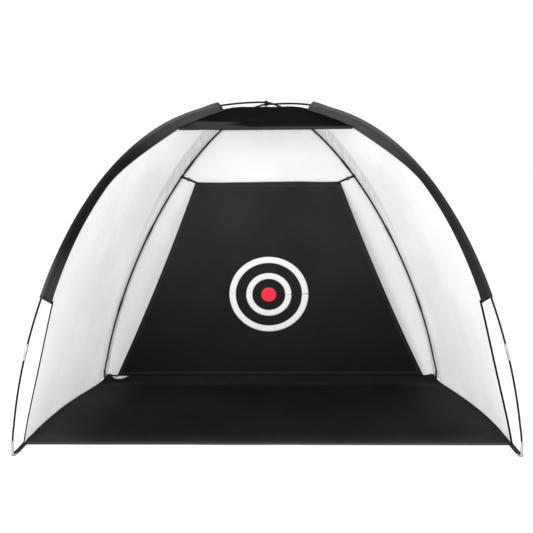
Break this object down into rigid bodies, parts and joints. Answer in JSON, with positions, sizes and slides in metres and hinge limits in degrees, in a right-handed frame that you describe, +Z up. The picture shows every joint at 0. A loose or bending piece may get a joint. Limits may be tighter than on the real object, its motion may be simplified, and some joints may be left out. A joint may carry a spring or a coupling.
{
  "type": "golf chipping net",
  "caption": "Free-standing dome-shaped golf chipping net on crossing poles, with net walls, a cloth floor and a hanging target sheet that swings when a ball hits it.",
  "frame": {"origin": "on the ground, at the middle of the four feet", "axes": "+X to the right seen from the open front, +Y to the back, +Z up"},
  "size_m": [2.0212, 1.0145, 1.4014],
  "materials": {
    "pole_fibreglass": "satin",
    "tip_metal": "satin",
    "ring_metal": "polished",
    "adjuster_plastic": "satin",
    "black_webbing": "matte",
    "shell_cloth": "matte",
    "white_mesh": "matte",
    "floor_cloth": "matte",
    "target_cloth": "matte",
    "white_cloth": "matte",
    "red_cloth": "matte"
  },
  "bodies": {
    "frame": {"back_net": "white_mesh", "corner_strap_front_left": "black_webbing", "corner_strap_front_right": "black_webbing", "corner_strap_rear_left": "black_webbing", "corner_strap_rear_right": "black_webbing", "crossing_tie": "black_webbing", "floor_front_hem": "floor_cloth", "floor_sheet": "floor_cloth", "front_sleeve_left": "shell_cloth", "front_sleeve_right": "shell_cloth", "header_hem": "shell_cloth", "net_binding_left": "shell_cloth", "net_binding_right": "shell_cloth", "pole_a_section_1": "pole_fibreglass", "pole_a_section_2": "pole_fibreglass", "pole_a_section_3": "pole_fibreglass", "pole_a_section_4": "pole_fibreglass", "pole_a_section_5": "pole_fibreglass", "pole_a_section_6": "pole_fibreglass", "pole_a_section_7": "pole_fibreglass", "pole_a_section_8": "pole_fibreglass", "pole_a_section_9": "pole_fibreglass", "pole_b_section_1": "pole_fibreglass", "pole_b_section_2": "pole_fibreglass", "pole_b_section_3": "pole_fibreglass", "pole_b_section_4": "pole_fibreglass", "pole_b_section_5": "pole_fibreglass", "pole_b_section_6": "pole_fibreglass", "pole_b_section_7": "pole_fibreglass", "pole_b_section_8": "pole_fibreglass", "pole_b_section_9": "pole_fibreglass", "pole_tip_front_left": "tip_metal", "pole_tip_front_right": "tip_metal", "pole_tip_rear_left": "tip_metal", "pole_tip_rear_right": "tip_metal", "rear_sleeve_left": "white_mesh", "rear_sleeve_right": "white_mesh", "roof_panel": "shell_cloth", "side_net_left": "white_mesh", "side_net_right": "white_mesh", "strap_collar_left": "black_webbing", "strap_collar_right": "black_webbing"},
    "target": {"strap_hook_left": "ring_metal", "strap_hook_right": "ring_metal", "target_bullseye": "red_cloth", "target_ring_inner": "white_cloth", "target_ring_outer": "white_cloth", "target_sheet": "target_cloth", "target_strap_lower_left": "black_webbing", "target_strap_lower_right": "black_webbing", "target_strap_upper_left": "black_webbing", "target_strap_upper_right": "black_webbing"},
    "strap_adjuster_upper_left": {"strap_adjuster_upper_left": "adjuster_plastic"},
    "strap_adjuster_upper_right": {"strap_adjuster_upper_right": "adjuster_plastic"},
    "strap_adjuster_lower_left": {"strap_adjuster_lower_left": "adjuster_plastic"},
    "strap_adjuster_lower_right": {"strap_adjuster_lower_right": "adjuster_plastic"},
    "foot_ring_front_left": {"foot_ring_front_left": "ring_metal"},
    "foot_ring_front_right": {"foot_ring_front_right": "ring_metal"},
    "foot_ring_rear_left": {"foot_ring_rear_left": "ring_metal"},
    "foot_ring_rear_right": {"foot_ring_rear_right": "ring_metal"}
  },
  "joints": [
    {"name": "target_swing", "type": "hinge", "parent": "frame", "child": "target", "pos_m": [0, 0.3131, 1.063], "axis": [1, 0, 0], "range_deg": [-60, 0], "stiffness_Nm_per_rad": 6, "springref_deg": 6.88},
    {"name": "adjuster_upper_left_slide", "type": "slide", "parent": "target", "child": "strap_adjuster_upper_left", "axis": [0.9074, 0.1695, -0.3846], "range_m": [-0.012, 0.018]},
    {"name": "adjuster_upper_right_slide", "type": "slide", "parent": "target", "child": "strap_adjuster_upper_right", "axis": [-0.9074, 0.1695, -0.3846], "range_m": [-0.012, 0.018]},
    {"name": "adjuster_lower_left_slide", "type": "slide", "parent": "target", "child": "strap_adjuster_lower_left", "axis": [0.9277, -0.3711, 0.0398], "range_m": [-0.012, 0.018]},
    {"name": "adjuster_lower_right_slide", "type": "slide", "parent": "target", "child": "strap_adjuster_lower_right", "axis": [-0.9277, -0.3711, 0.0398], "range_m": [-0.012, 0.018]},
    {"name": "foot_ring_front_left_swivel", "type": "hinge", "parent": "frame", "child": "foot_ring_front_left", "pos_m": [-1, -0.5, 0], "axis": [0, 0, 1], "range_deg": [-12, 12]},
    {"name": "foot_ring_front_right_swivel", "type": "hinge", "parent": "frame", "child": "foot_ring_front_right", "pos_m": [1, -0.5, 0], "axis": [0, 0, 1], "range_deg": [-12, 12]},
    {"name": "foot_ring_rear_left_swivel", "type": "hinge", "parent": "frame", "child": "foot_ring_rear_left", "pos_m": [-0.86, 0.5, 0], "axis": [0, 0, 1], "range_deg": [-12, 12]},
    {"name": "foot_ring_rear_right_swivel", "type": "hinge", "parent": "frame", "child": "foot_ring_rear_right", "pos_m": [0.86, 0.5, 0], "axis": [0, 0, 1], "range_deg": [-12, 12]}
  ]
}
